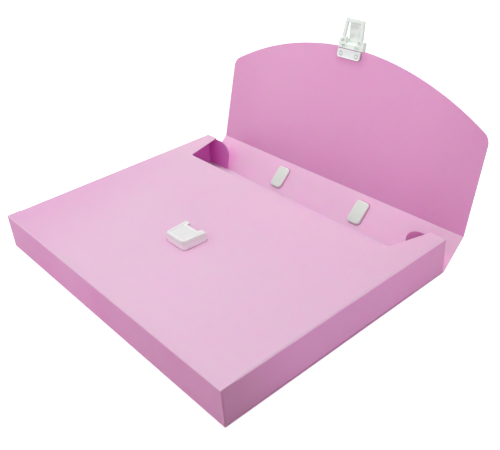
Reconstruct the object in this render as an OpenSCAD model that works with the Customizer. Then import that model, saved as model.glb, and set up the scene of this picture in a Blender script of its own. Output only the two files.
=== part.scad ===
// Document carry case folded from polypropylene sheet, with a hinged lid,
// a push-in clip lock and a folding handle. It lies on its back panel:
// X runs along the mouth, +Y points to the mouth and +Z to the front panel.
// The origin is the centre of the case's underside.

/* [Case] */
// Width of the case along its mouth
case_w = 330; // [280:1:420]
// Depth of the case from its closed edge to its mouth
case_d = 252; // [220:1:340]
// Thickness of the closed case
case_t = 35.5; // [32:0.5:60]
// Thickness of the polypropylene sheet
sheet_t = 0.8; // [0.6:0.1:1.1]
// Outer radius of a welded or scored corner
fold_r = 1.4; // [1.3:0.1:2.2]
// Length of the free slit beside each closed corner of the front panel
corner_slit = 14; // [8:1:30]
// Width of the welded tabs inside the case
tab_w = 12; // [8:1:18]
// Distance that a welded tab keeps from the folds at its ends
tab_inset = 2; // [1:0.5:5]

/* [Mouth notch] */
// Width of the shoulder left on each side of the notch, at the mouth
shoulder_w = 16; // [8:0.5:28]
// Width of the shoulder at the notch's inner edge
shoulder_inner_w = 29.5; // [29:0.5:60]
// Depth of the notch from the mouth
notch_depth = 47.5; // [25:0.5:60]
// Radius of the notch's inner corners
notch_r = 4; // [1:0.5:10]

/* [Dust flaps] */
// Reach of a dust flap across the mouth
dust_w = 37; // [25:0.5:45]
// Radius of its free upper corner
dust_r = 12.5; // [4:0.5:14]
// How much its free edge draws in towards its foot
dust_taper = 5; // [2:0.5:10]
// Inward lean of the left flap as it stands, in degrees
dust_lean_left = 0; // [0:1:30]
// Inward lean of the right flap as it stands, in degrees
dust_lean_right = 8; // [0:1:30]

/* [Lid] */
// Slope of the raised spine panel above the table, in degrees
spine_slope = 43; // [35:1:60]
// Slope of the raised cover flap above the table, in degrees
flap_slope = 75; // [60:1:90]
// Height of the cover flap's straight sides
flap_side_h = 89.8; // [70:0.1:95]
// Height of the cover flap at the top of its curved edge
flap_peak_h = 134; // [125:0.5:145]
// Radius of the corners between the sides and the curved edge
flap_corner_r = 12; // [5:0.5:20]
// Space between the closed flap and the front panel at the fold
lid_gap = 0.9; // [0.5:0.1:2]

/* [Latch] */
// Width of the latch's block
latch_w = 31; // [28:0.5:36]
// Width of the clamp plate on the inside of the flap
clamp_w = 28.6; // [27:0.2:31]
// Height of the clamp plate on the inside of the flap
clamp_h = 8.4; // [7:0.2:12]
// Thickness of the clamp plate
clamp_t = 2; // [1.6:0.1:2]
// Depth of the panel inside the clamp plate's rim
clamp_recess = 0.4; // [0.2:0.1:0.6]
// Height of the latch's block beyond the flap's edge
block_h = 9; // [6:0.5:12]
// Thickness of the latch's block
block_t = 4.9; // [4:0.1:6]
// Length of the tapered frame that enters the keeper
frame_len = 19.5; // [18:0.5:22]
// Width of the frame at the block
frame_base_w = 25.6; // [24:0.2:27]
// Width of the frame at its tip
frame_tip_w = 22.4; // [21:0.2:24]
// Thickness of the frame
frame_t = 2.5; // [2:0.1:2.6]
// Width of the frame's side bars
frame_bar = 3.2; // [2.4:0.1:3.6]
// Width of the frame's tip bar
frame_tip_bar = 3.5; // [2.5:0.1:4]
// Width of the release tongue
tongue_w = 12.6; // [10:0.2:14]
// Thickness of the release tongue
tongue_t = 1.4; // [1:0.1:1.6]
// Slope of the relaxed tongue out of the frame, in degrees
tongue_slope = 8; // [7:0.5:9]
// Height of the tongue's catch ridge
ridge_h = 1.3; // [1:0.1:1.3]
// Depth of the two troughs in the tongue's inner face
tongue_recess = 0.5; // [0.2:0.1:0.5]

/* [Keeper] */
// Thickness of the keeper's top
keeper_top = 1.8; // [1.1:0.1:2]
// Thickness of the keeper's side walls
keeper_wall = 1.8; // [1.2:0.1:2.4]
// Depth of the catch under the keeper's top
keeper_catch = 1.1; // [0.8:0.1:1.1]
// Depth of the finger notch
finger_depth = 4.5; // [3.5:0.1:5]
// Thickness of the washer plate under the front panel
washer_t = 1.5; // [1:0.1:2.5]

/* [Handle] */
// Distance between the handle's two brackets
bracket_pitch = 112; // [90:1:160]
// Width of a bracket
bracket_w = 13.5; // [12:0.5:18]
// Length of a bracket and of its pad, across the spine
bracket_l = 24; // [18:0.5:26]
// Width of a pad inside the spine
pad_w = 15.5; // [12:0.5:18]
// Thickness of a pad
pad_t = 2.2; // [2:0.1:4]
// Radius of the handle's pivot pins
pivot_r = 2; // [1.5:0.1:2.4]
// Distance from the pivots to the middle of the grip
handle_reach = 23; // [20:0.5:26]
// Thickness of the handle's moulding
handle_t = 6; // [5:0.1:8]

/* [Hidden] */
$fn = 64;

sheet_pink = [0.9, 0.74, 0.84];
inner_pink = [0.84, 0.6, 0.76];
fitting_white = [0.92, 0.93, 0.91];

// Clearances
cut_gap = 0.1;       // width of a slit between two panels of the sheet
hinge_gap = 0.1;     // between a panel's edge and the rounded edge that turns beside it
mouth_clear = 0.3;   // between the closed spine panel and the edges of the mouth
dust_clear = 0.4;    // under a dust flap
dust_head = 0.8;     // over a dust flap
pin_clear = 0.1;     // round a press pin in its hole
pivot_clear = 0.08;  // round a pivot pin in its bore
side_clear = 0.3;    // beside the handle's legs and beside the frame in the keeper
shut_clear = 0.2;    // under the clamp plate when the lid is shut
table_clear = 0.3;   // under the handle where it lies on the table
outline_steps = 6;   // facets of a rounded corner in an outline
cut_past = 1;        // how far a cut runs past the face that it opens

// Folds between the back panel, the spine panel and the cover flap
fold_half = sheet_t / 2;
spine_axis_y = case_d / 2 - fold_half;
spine_axis_z = fold_half;
spine_len = case_t + lid_gap;
mouth_y = case_d / 2 - sheet_t - mouth_clear;
back_edge_y = spine_axis_y - fold_half - hinge_gap;

// Side walls and dust flaps
wall_start_y = -case_d / 2 + sheet_t;
dust_axis_x = case_w / 2 - sheet_t;
dust_axis_y = mouth_y - sheet_t;
wall_end_y = dust_axis_y - hinge_gap;
dust_foot_z = sheet_t + dust_clear;
dust_top_z = case_t - sheet_t - dust_head;
dust_foot_r = 2.5;
dust_straight = 0.5;
slit_y = -case_d / 2 + corner_slit;
corner_tab_low = sheet_t + fold_r + tab_inset;
corner_tab_high = case_t - fold_r - tab_inset;
floor_tab_start = wall_start_y + fold_r + tab_inset;
floor_tab_end = dust_axis_y - dust_w - tab_inset;

// Cover flap's outline
flap_rise = flap_peak_h - flap_side_h;
flap_arc_r = (pow(case_w / 2, 2) + pow(flap_rise, 2)) / (2 * flap_rise);
flap_arc_y = flap_peak_h - flap_arc_r;
flap_corner_x = case_w / 2 - flap_corner_r;
flap_corner_y = flap_arc_y + sqrt(pow(flap_arc_r - flap_corner_r, 2) - pow(flap_corner_x, 2));
flap_corner_turn = atan2(flap_corner_y - flap_arc_y, flap_corner_x);
flap_arc_steps = 40;
seat_depth = 1.4;
seat_side = 1.5;
seat_y = flap_peak_h - seat_depth;
seat_half_w = latch_w / 2 + seat_side;

// Latch, in the flap's plane: Y from the fold, Z towards the inside
latch_drop = 0.7;
latch_in_z = fold_half + latch_drop;
block_y = seat_y + cut_gap;
frame_y = block_y + block_h;
frame_tip_y = frame_y + frame_len;
frame_out_z = latch_in_z - frame_t;
clamp_edge = 0.8;
clamp_r = 3;
clamp_top_r = 0.6;
clamp_rim = 0.9;
clamp_y = seat_y - clamp_edge - clamp_h;
latch_pin_r = 1.5;
latch_pin_pitch = 19.6;
latch_pin_y = clamp_y + 0.45 * clamp_h;
tail_t = 2;
block_r = 1;
block_chamfer = 0.8;
foot_pocket_x = 8.2;
foot_pocket_w = 5.6;
lug_pocket_x = 10.5;
lug_pocket_w = 4.2;
pocket_l = 2.4;
pocket_inset = 0.8;
pocket_depth = 1.6;
frame_tip_r = 1.6;
window_r = 0.5;
window_base = 1.8;
scoop_side = 0.5;
scoop_low = 5;
scoop_high = 1.3;
tongue_gap = 0.2;
tongue_axis_y = frame_tip_y - frame_tip_bar - tongue_gap - tongue_t / 2;
tongue_axis_z = frame_out_z + tongue_t / 2;
tongue_reach = 0.9;
tongue_len = (tongue_axis_y - frame_y + tongue_reach) / cos(tongue_slope);
tongue_pad_len = 3.2;
tongue_pad_h = 0.8;
tongue_rim = 1.9;
trough_starts = [1.7, 10.6];
trough_lens = [5.9, 4.7];
trough_slope = 1.6;

// Keeper on the front panel, from its mouth towards the closed edge
keeper_gap = 1.9;
keeper_spare = 5.5;
keeper_lip = 1.5;
keeper_y = spine_axis_y - frame_y - keeper_gap;
keeper_len = frame_len - keeper_gap + keeper_wall + keeper_spare;
keeper_mouth_w = frame_base_w + 2 * (side_clear + keeper_wall);
keeper_back_w = frame_tip_w + 2 * (side_clear + keeper_wall);
keeper_rim = 2.8;
keeper_edge = 0.7;
keeper_corner_r = 3.6;
keeper_recess = 0.5;
finger_side = 2.7;
finger_taper = 1.2;
finger_w = tongue_w + 2 * finger_side;
catch_len = 1.5;
catch_end = finger_depth + catch_len;
keeper_pin_r = 1.5;
keeper_pin_x = 7;
keeper_pin_inset = 6;
washer_margin = 3.5;

// Catch ridge, just behind the keeper's catch when the lid is shut
ridge_gap = 0.3;
ridge_len = 2;
ridge_flat = 0.7;
ridge_root = 0.2;
ridge_start = (tongue_axis_y - frame_y - keeper_gap - catch_end - ridge_gap) / cos(tongue_slope);

// Heights of the keeper over the front panel, from the frame's place when the lid is shut
under_clear = 0.75;
over_clear = 0.5;
shut_rise = fold_half + lid_gap + (clamp_t + shut_clear - lid_gap) * (frame_y + frame_len / 2) / clamp_y;
keeper_floor = shut_rise - latch_in_z - under_clear;
catch_reach = tongue_axis_y - frame_y - keeper_gap - finger_depth;
catch_z = shut_rise - tongue_axis_z + catch_reach * sin(tongue_slope) + tongue_t / 2 + over_clear;
socket_top = catch_z + keeper_catch;
keeper_h = socket_top + keeper_top;

// Handle and its brackets, in the spine's plane
bracket_drop = 1.4;
bracket_y = spine_len / 2 - bracket_drop;
bracket_base = 1.8;
bracket_r = 3;
bracket_pin_r = 1.5;
bracket_pin_inset = 4.5;
bracket_pin_pitch = bracket_l - 2 * bracket_pin_inset;
pad_r = 4;
pad_edge = 0.7;
ear_t = 2;
ear_r = 4;
handle_boss_r = handle_t / 2 + 0.6;
handle_w = bracket_w - 2 * (ear_t + side_clear);
handle_corner_r = 12;
handle_edge_r = 2.2;
pivot_h = bracket_base + handle_boss_r + side_clear;
pivot_z = spine_axis_z + bracket_y * sin(spine_slope) - (fold_half + pivot_h) * cos(spine_slope);
grip_half = handle_t / 2 + 0.4;
handle_droop = asin((pivot_z - grip_half - table_clear) / handle_reach);

// Rounded outlines: each corner is [x, y, radius]
function unit(v) = v / norm(v);
function turn_between(from, to) = let (d = to - from) d > 180 ? d - 360 : d < -180 ? d + 360 : d;
function corner_arc(before, corner, after, r) =
    let (u = unit(before - corner), v = unit(after - corner), half = acos(u * v) / 2)
    let (middle = corner + unit(u + v) * r / sin(half))
    let (first = corner + u * r / tan(half) - middle, last = corner + v * r / tan(half) - middle)
    let (start = atan2(first.y, first.x), sweep = turn_between(start, atan2(last.y, last.x)))
    [for (i = [0 : outline_steps])
        middle + r * [cos(start + sweep * i / outline_steps), sin(start + sweep * i / outline_steps)]];
function plane(p) = [p.x, p.y];
function rounded(points) = let (n = len(points))
    [for (i = [0 : n - 1])
        each points[i][2] > 0
            ? corner_arc(plane(points[(i + n - 1) % n]), plane(points[i]), plane(points[(i + 1) % n]),
                points[i][2])
            : [plane(points[i])]];

// A plate with four round corners, standing on its lower face
module rounded_plate(w, l, t, r) {
    linear_extrude(t) {
        square([w - 2 * r, l], center = true);
        square([w, l - 2 * r], center = true);
        for (x = [-1, 1], y = [-1, 1])
            translate([x * (w / 2 - r), y * (l / 2 - r)]) circle(r = r);
    }
}

// A quarter of a folded corner, turned in steps of 90 degrees
module fold_corner(turn) {
    rotate(turn) intersection() {
        difference() {
            circle(r = fold_r);
            circle(r = fold_r - sheet_t);
        }
        square(fold_r);
    }
}

// Draws a side profile of Y and Z along X
module along_x(length) {
    rotate([90, 0, 90]) linear_extrude(length, center = true) children();
}

// Draws a front profile of X and Z from one Y to another
module along_y(from, to) {
    translate([0, to, 0]) rotate([90, 0, 0]) linear_extrude(to - from) children();
}

module on_spine() {
    translate([0, spine_axis_y, spine_axis_z]) rotate([spine_slope, 0, 0]) children();
}

module on_flap() {
    on_spine() translate([0, spine_len, 0]) rotate([flap_slope - spine_slope, 0, 0]) children();
}

// A bar with round edges: its section, seen end on
module handle_section() {
    square([handle_w - 2 * handle_edge_r, handle_t], center = true);
    square([handle_w, handle_t - 2 * handle_edge_r], center = true);
    for (x = [-1, 1], y = [-1, 1])
        translate([x * (handle_w / 2 - handle_edge_r), y * (handle_t / 2 - handle_edge_r)])
            circle(r = handle_edge_r, $fn = 24);
}

// ---- Folded case ----

module back_panel() {
    color(sheet_pink) translate([-case_w / 2, -case_d / 2 + fold_r, 0])
        cube([case_w, back_edge_y + case_d / 2 - fold_r, sheet_t]);
}

module bottom_wall() {
    color(sheet_pink) along_x(case_w) {
        translate([-case_d / 2 + fold_r, fold_r]) fold_corner(180);
        translate([-case_d / 2 + fold_r, case_t - fold_r]) fold_corner(90);
        translate([-case_d / 2, fold_r]) square([sheet_t, case_t - 2 * fold_r]);
    }
}

module keeper_pin_places() {
    for (x = [-keeper_pin_x, keeper_pin_x], y = [keeper_y - keeper_len + keeper_pin_inset,
            keeper_y - keeper_pin_inset])
        translate([x, y]) children();
}

module front_panel() {
    notch_half = case_w / 2 - shoulder_w;
    notch_y = case_d / 2 - notch_depth;
    color(sheet_pink) translate([0, 0, case_t - sheet_t]) linear_extrude(sheet_t) difference() {
        union() {
            translate([-case_w / 2 + fold_r, -case_d / 2 + fold_r])
                square([case_w - 2 * fold_r, mouth_y + case_d / 2 - fold_r]);
            translate([-case_w / 2, -case_d / 2 + fold_r])
                square([case_w, corner_slit - fold_r]);
        }
        polygon(rounded([
            [-notch_half, mouth_y, 0],
            [shoulder_inner_w - case_w / 2, notch_y, notch_r],
            [case_w / 2 - shoulder_inner_w, notch_y, notch_r],
            [notch_half, mouth_y, 0],
            [notch_half, case_d / 2, 0],
            [-notch_half, case_d / 2, 0]]));
        keeper_pin_places() circle(r = keeper_pin_r + pin_clear, $fn = 32);
    }
}

// The right-hand side wall: plate, fold to the front panel, floor tab and corner tab
module side_wall() {
    low = sheet_t + cut_gap;
    high = case_t - sheet_t - cut_gap;
    plate_low = sheet_t + fold_r;
    fold_start = slit_y + cut_gap;
    translate([case_w / 2 - sheet_t / 2, 0, 0]) along_x(sheet_t) {
        translate([wall_start_y + fold_r, plate_low])
            square([wall_end_y - wall_start_y - fold_r, case_t - fold_r - plate_low]);
        translate([wall_start_y + cut_gap, low])
            square([floor_tab_start - wall_start_y - 2 * cut_gap, corner_tab_low - low]);
        translate([floor_tab_end + cut_gap, low])
            square([wall_end_y - floor_tab_end - cut_gap, plate_low - low]);
        translate([wall_start_y + cut_gap, corner_tab_high])
            square([slit_y - wall_start_y - cut_gap, high - corner_tab_high]);
    }
    // fold to the front panel
    along_y(fold_start, mouth_y) translate([case_w / 2 - fold_r, case_t - fold_r]) fold_corner(0);
    // floor tab, welded to the back panel
    along_y(floor_tab_start, floor_tab_end) {
        translate([case_w / 2 - fold_r, plate_low]) fold_corner(270);
        translate([case_w / 2 - fold_r - tab_w, sheet_t]) square([tab_w, sheet_t]);
    }
    // corner tab, welded to the bottom wall
    translate([0, 0, corner_tab_low]) linear_extrude(corner_tab_high - corner_tab_low) {
        translate([case_w / 2 - fold_r, wall_start_y + fold_r]) fold_corner(270);
        translate([case_w / 2 - fold_r - tab_w, wall_start_y]) square([tab_w, sheet_t]);
    }
}

module side_wall_right() {
    color(sheet_pink) side_wall();
}

module side_wall_left() {
    color(sheet_pink) mirror([1, 0, 0]) side_wall();
}

// A dust flap that reaches towards -X from a fold on the Z axis
module dust_flap(lean) {
    rotate([0, 0, lean]) {
        translate([0, sheet_t, 0]) rotate([90, 0, 0]) linear_extrude(sheet_t)
            polygon(rounded([
                [0, dust_foot_z, 0],
                [0, dust_top_z, 0],
                [-dust_w, dust_top_z, dust_r],
                [-dust_w, dust_top_z - dust_r - dust_straight, 0],
                [-dust_w + dust_taper, dust_foot_z, dust_foot_r]]));
        translate([0, 0, dust_foot_z]) linear_extrude(dust_top_z - dust_foot_z) intersection() {
            circle(r = sheet_t);
            square(sheet_t);
        }
    }
}

module dust_flap_right() {
    color(inner_pink) translate([dust_axis_x, dust_axis_y, 0]) dust_flap(dust_lean_right);
}

module dust_flap_left() {
    color(inner_pink) mirror([1, 0, 0])
        translate([dust_axis_x, dust_axis_y, 0]) dust_flap(dust_lean_left);
}

// ---- Keeper ----

// The keeper's outline seen from above, drawn in by a margin on every side but its mouth
module keeper_outline(margin, mouth_margin, r) {
    slope = (keeper_mouth_w - keeper_back_w) / 2 / keeper_len;
    half_mouth = keeper_mouth_w / 2 - margin - slope * mouth_margin;
    half_back = keeper_back_w / 2 - margin + slope * margin;
    translate([0, keeper_y]) polygon(rounded([
        [-half_mouth, -mouth_margin, r / 2],
        [-half_back, -keeper_len + margin, r],
        [half_back, -keeper_len + margin, r],
        [half_mouth, -mouth_margin, r / 2]]));
}

module finger_notch(grow) {
    half = finger_w / 2 + grow;
    translate([0, keeper_y]) polygon([
        [-half, cut_past],
        [-half + finger_taper, -finger_depth - grow],
        [half - finger_taper, -finger_depth - grow],
        [half, cut_past]]);
}

module keeper_housing() {
    socket_r = 1;
    color(fitting_white) translate([0, 0, case_t]) {
        difference() {
            union() {
                linear_extrude(keeper_h - keeper_edge) keeper_outline(0, 0, keeper_corner_r);
                linear_extrude(keeper_h)
                    keeper_outline(keeper_edge, keeper_edge, keeper_corner_r - keeper_edge);
            }
            // socket: lower ahead of the catch's end, higher behind it
            translate([0, 0, keeper_floor]) linear_extrude(catch_z - keeper_floor)
                keeper_outline(keeper_wall, -cut_past, socket_r);
            translate([0, 0, keeper_floor]) linear_extrude(socket_top - keeper_floor) intersection() {
                keeper_outline(keeper_wall, -cut_past, socket_r);
                translate([-keeper_mouth_w, keeper_y - catch_end - keeper_len])
                    square([2 * keeper_mouth_w, keeper_len]);
            }
            translate([0, 0, catch_z - cut_past]) linear_extrude(keeper_h) finger_notch(0);
            // shallow face inside a raised rim
            translate([0, 0, keeper_h - keeper_recess]) linear_extrude(keeper_h) difference() {
                keeper_outline(keeper_rim, keeper_rim, socket_r);
                finger_notch(keeper_rim);
            }
        }
        // floor lip at the mouth
        translate([-keeper_mouth_w / 2 + keeper_wall, keeper_y - cut_past, 0])
            cube([keeper_mouth_w - 2 * keeper_wall, keeper_lip + cut_past, keeper_floor]);
        // pins through the front panel and the washer plate
        translate([0, 0, -sheet_t - washer_t]) keeper_pin_places()
            cylinder(r = keeper_pin_r, h = sheet_t + washer_t + keeper_floor / 2, $fn = 32);
    }
}

module keeper_washer() {
    washer_l = keeper_len - 2 * keeper_pin_inset + 2 * washer_margin;
    washer_w = 2 * (keeper_pin_x + washer_margin);
    color(fitting_white) translate([0, 0, case_t - sheet_t - washer_t]) difference() {
        translate([0, keeper_y - keeper_len / 2]) rounded_plate(washer_w, washer_l, washer_t, 2);
        translate([0, 0, -cut_past]) keeper_pin_places()
            cylinder(r = keeper_pin_r + pin_clear, h = washer_t + 2 * cut_past, $fn = 32);
    }
}

// ---- Spine panel and handle ----

module bracket_pin_places() {
    for (x = [-1, 1], y = [-1, 1])
        translate([x * bracket_pitch / 2, bracket_y + y * bracket_pin_pitch / 2]) children();
}

module spine_panel() {
    flat_end = spine_len - fold_half - hinge_gap;
    color(sheet_pink) on_spine() difference() {
        union() {
            translate([-case_w / 2, 0, -fold_half]) cube([case_w, flat_end, sheet_t]);
            rotate([0, 90, 0]) cylinder(r = fold_half, h = case_w, center = true, $fn = 24);
        }
        translate([0, 0, -cut_past]) bracket_pin_places()
            cylinder(r = bracket_pin_r + pin_clear, h = 2 * cut_past, $fn = 32);
    }
}

// An ear of a bracket, standing on the base plate and bored for the pivot pin
module bracket_ear() {
    rotate([90, 0, 90]) linear_extrude(ear_t, center = true) difference() {
        union() {
            translate([-ear_r, 0]) square([2 * ear_r, pivot_h]);
            translate([0, pivot_h]) circle(r = ear_r);
        }
        translate([0, pivot_h]) circle(r = pivot_r + pivot_clear);
    }
}

// A bracket on the outside of the spine, standing up from its base
module handle_bracket() {
    rounded_plate(bracket_w, bracket_l, bracket_base, bracket_r);
    for (x = [-1, 1])
        translate([x * (bracket_w - ear_t) / 2, 0, 0]) bracket_ear();
    for (y = [-1, 1])
        translate([0, y * bracket_pin_pitch / 2, -sheet_t - pad_t / 2])
            cylinder(r = bracket_pin_r, h = sheet_t + pad_t / 2 + 0.5, $fn = 32);
}

module on_bracket(side) {
    on_spine() translate([side * bracket_pitch / 2, bracket_y, -fold_half]) rotate([180, 0, 0])
        children();
}

module handle_bracket_left() {
    color(fitting_white) on_bracket(-1) handle_bracket();
}

module handle_bracket_right() {
    color(fitting_white) on_bracket(1) handle_bracket();
}

// A pad on the inside of the spine, pressed on to the bracket's pins
module handle_pad() {
    difference() {
        union() {
            rounded_plate(pad_w, bracket_l, pad_t - pad_edge, pad_r);
            rounded_plate(pad_w - 2 * pad_edge, bracket_l - 2 * pad_edge, pad_t, pad_r - pad_edge);
        }
        for (y = [-1, 1])
            translate([0, y * bracket_pin_pitch / 2, -cut_past])
                cylinder(r = bracket_pin_r + pin_clear, h = pad_t / 2 + pin_clear + cut_past, $fn = 32);
    }
}

module on_pad(side) {
    on_spine() translate([side * bracket_pitch / 2, bracket_y, fold_half]) children();
}

module handle_pad_left() {
    color(fitting_white) on_pad(-1) handle_pad();
}

module handle_pad_right() {
    color(fitting_white) on_pad(1) handle_pad();
}

module handle() {
    leg = handle_reach - handle_corner_r;
    leg_x = bracket_pitch / 2;
    color(fitting_white) on_spine()
        translate([0, bracket_y, -fold_half - pivot_h]) rotate([-spine_slope - handle_droop, 0, 0]) {
            for (side = [-1, 1]) {
                translate([side * leg_x, 0, 0]) rotate([0, 90, 0]) {
                    cylinder(r = handle_boss_r, h = handle_w, center = true, $fn = 48);
                    cylinder(r = pivot_r, h = bracket_w - 2 * pin_clear, center = true, $fn = 48);
                }
                translate([side * leg_x, leg / 2, 0]) rotate([90, 0, 0])
                    linear_extrude(leg, center = true) handle_section();
                translate([side * (leg_x - handle_corner_r), leg, 0]) rotate([0, 0, side > 0 ? 0 : 90])
                    rotate_extrude(angle = 90, $fn = 48)
                        translate([handle_corner_r, 0]) handle_section();
            }
            translate([0, handle_reach, 0]) rotate([90, 0, 90])
                linear_extrude(bracket_pitch - 2 * handle_corner_r, center = true) handle_section();
        }
}

// ---- Cover flap and latch ----

function flap_half_outline() = concat(
    [for (i = [0 : outline_steps])
        let (a = flap_corner_turn * i / outline_steps)
        [flap_corner_x + flap_corner_r * cos(a), flap_corner_y + flap_corner_r * sin(a)]],
    [for (i = [1 : flap_arc_steps])
        let (a = flap_corner_turn
            + (acos(seat_half_w / flap_arc_r) - flap_corner_turn) * i / flap_arc_steps)
        [flap_arc_r * cos(a), flap_arc_y + flap_arc_r * sin(a)]],
    [[seat_half_w, seat_y]]);

function mirrored(points) = [for (i = [len(points) - 1 : -1 : 0]) [-points[i].x, points[i].y]];

module latch_pin_places() {
    for (x = [-1, 1])
        translate([x * latch_pin_pitch / 2, latch_pin_y]) children();
}

module cover_flap() {
    half = flap_half_outline();
    color(inner_pink) on_flap() {
        translate([0, 0, -fold_half]) linear_extrude(sheet_t) difference() {
            polygon(concat([[case_w / 2, 0]], half, mirrored(half), [[-case_w / 2, 0]]));
            latch_pin_places() circle(r = latch_pin_r + pin_clear, $fn = 32);
        }
        rotate([0, 90, 0]) cylinder(r = fold_half, h = case_w, center = true, $fn = 24);
    }
}

module clamp_outline(margin) {
    translate([0, clamp_y]) polygon(rounded([
        [-clamp_w / 2 + margin, margin, clamp_r - margin],
        [clamp_w / 2 - margin, margin, clamp_r - margin],
        [clamp_w / 2 - margin, clamp_h - margin, clamp_top_r],
        [-clamp_w / 2 + margin, clamp_h - margin, clamp_top_r]]));
}

// A plate with a sunk panel inside its rim, where the latch's pins end
module latch_clamp_plate() {
    color(fitting_white) on_flap() translate([0, 0, fold_half]) difference() {
        linear_extrude(clamp_t) clamp_outline(0);
        translate([0, 0, clamp_t - clamp_recess]) linear_extrude(clamp_t) clamp_outline(clamp_rim);
        translate([0, 0, -cut_past]) latch_pin_places()
            cylinder(r = latch_pin_r + pin_clear, h = clamp_t + 2 * cut_past, $fn = 32);
    }
}

// The frame's half width at a distance from the block
function frame_half(y) = (frame_base_w - (frame_base_w - frame_tip_w) * y / frame_len) / 2;

module latch_body() {
    tail_y = clamp_y;
    block_end = block_y + block_h;
    block_out_z = latch_in_z - block_t;
    tail_out_z = -fold_half - tail_t;
    window_len = frame_len - frame_tip_bar;
    color(fitting_white) on_flap() difference() {
        union() {
            // tail on the outside of the flap, rising to the thumb block
            intersection() {
                along_x(latch_w) polygon([
                    [tail_y, -fold_half],
                    [block_y, -fold_half],
                    [block_y, latch_in_z],
                    [block_end, latch_in_z],
                    [block_end, block_out_z + block_chamfer],
                    [block_end - block_chamfer, block_out_z],
                    [block_y + tail_t, block_out_z],
                    [tail_y + block_chamfer, tail_out_z],
                    [tail_y, tail_out_z + block_chamfer]]);
                translate([0, 0, -latch_w / 2]) linear_extrude(latch_w) polygon(rounded([
                    [-latch_w / 2, tail_y, clamp_r],
                    [latch_w / 2, tail_y, clamp_r],
                    [latch_w / 2, block_end, block_r],
                    [-latch_w / 2, block_end, block_r]]));
            }
            // tapered frame
            translate([0, frame_y, frame_out_z]) linear_extrude(frame_t) difference() {
                polygon(rounded([
                    [-frame_half(0), -cut_past, 0],
                    [frame_half(0), -cut_past, 0],
                    [frame_half(0), 0, 0],
                    [frame_half(frame_len), frame_len, frame_tip_r],
                    [-frame_half(frame_len), frame_len, frame_tip_r],
                    [-frame_half(0), 0, 0]]));
                polygon(rounded([
                    [-frame_half(window_base) + frame_bar, window_base, window_r],
                    [frame_half(window_base) - frame_bar, window_base, window_r],
                    [frame_half(window_len) - frame_bar, window_len, window_r],
                    [-frame_half(window_len) + frame_bar, window_len, window_r]]));
            }
            // pins through the flap and the clamp plate
            translate([0, 0, -fold_half - tail_t / 2]) latch_pin_places()
                cylinder(r = latch_pin_r, h = tail_t / 2 + sheet_t + clamp_t, $fn = 32);
        }
        // scoop for the tongue's free end and the finger
        along_x(tongue_w + 2 * scoop_side) polygon([
            [block_end - scoop_low, latch_in_z + cut_past],
            [block_end - scoop_low, latch_in_z],
            [block_end - scoop_high, block_out_z],
            [block_end - scoop_high, block_out_z - cut_past],
            [frame_y + window_base + cut_past, block_out_z - cut_past],
            [frame_y + window_base + cut_past, latch_in_z + cut_past]]);
        // moulding pockets in the block's inner face: a pair at its foot and a pair under the frame's bars
        translate([0, 0, latch_in_z - pocket_depth]) linear_extrude(block_t) for (x = [-1, 1]) {
            translate([x * foot_pocket_x, block_y + pocket_inset + pocket_l / 2])
                square([foot_pocket_w, pocket_l], center = true);
            translate([x * lug_pocket_x, block_end - pocket_inset - pocket_l / 2])
                square([lug_pocket_w, pocket_l], center = true);
        }
    }
}

// The tongue, drawn along -Y from its root at the origin, with +Z to the inside
module tongue_shape() {
    inner_w = tongue_w - 2 * tongue_rim;
    difference() {
        translate([-tongue_w / 2, -tongue_len, -tongue_t / 2]) cube([tongue_w, tongue_len, tongue_t]);
        // two troughs, which leave a bar behind the catch ridge
        for (i = [0 : len(trough_starts) - 1])
            translate([0, -trough_starts[i], tongue_t / 2]) along_x(inner_w) polygon([
                [0, cut_past],
                [0, 0],
                [-trough_slope, -tongue_recess],
                [trough_slope - trough_lens[i], -tongue_recess],
                [-trough_lens[i], 0],
                [-trough_lens[i], cut_past]]);
    }
    rotate([0, 90, 0]) cylinder(r = tongue_t / 2, h = tongue_w, center = true, $fn = 32);
    along_x(tongue_w) {
        // catch ridge, sloped towards the tip
        translate([-ridge_start, -tongue_t / 2]) polygon([
            [0, ridge_root],
            [0, -ridge_h],
            [ridge_flat, -ridge_h],
            [ridge_len, ridge_root]]);
        // press pad at the free end
        translate([-tongue_len, -tongue_t / 2]) polygon([
            [0, ridge_root],
            [0, -tongue_pad_h],
            [tongue_pad_len - tongue_pad_h, -tongue_pad_h],
            [tongue_pad_len, ridge_root]]);
    }
}

module release_tongue() {
    color(fitting_white) on_flap() translate([0, tongue_axis_y, tongue_axis_z])
        rotate([tongue_slope, 0, 0]) tongue_shape();
}

back_panel();
bottom_wall();
front_panel();
side_wall_left();
side_wall_right();
dust_flap_left();
dust_flap_right();
keeper_housing();
keeper_washer();
spine_panel();
handle_bracket_left();
handle_bracket_right();
handle_pad_left();
handle_pad_right();
handle();
cover_flap();
latch_body();
latch_clamp_plate();
release_tongue();
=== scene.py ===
# Document carry case: one blank of dyed polypropylene sheet, die-cut, scored, folded and welded at its
# tabs, with a hinged lid. Its white fittings are injection moulded and pressed together through the
# sheet: a clip lock with a springy tongue, and a folding handle on two brackets.
import bpy
import bmesh
import math
from mathutils import Matrix, Vector


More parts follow.
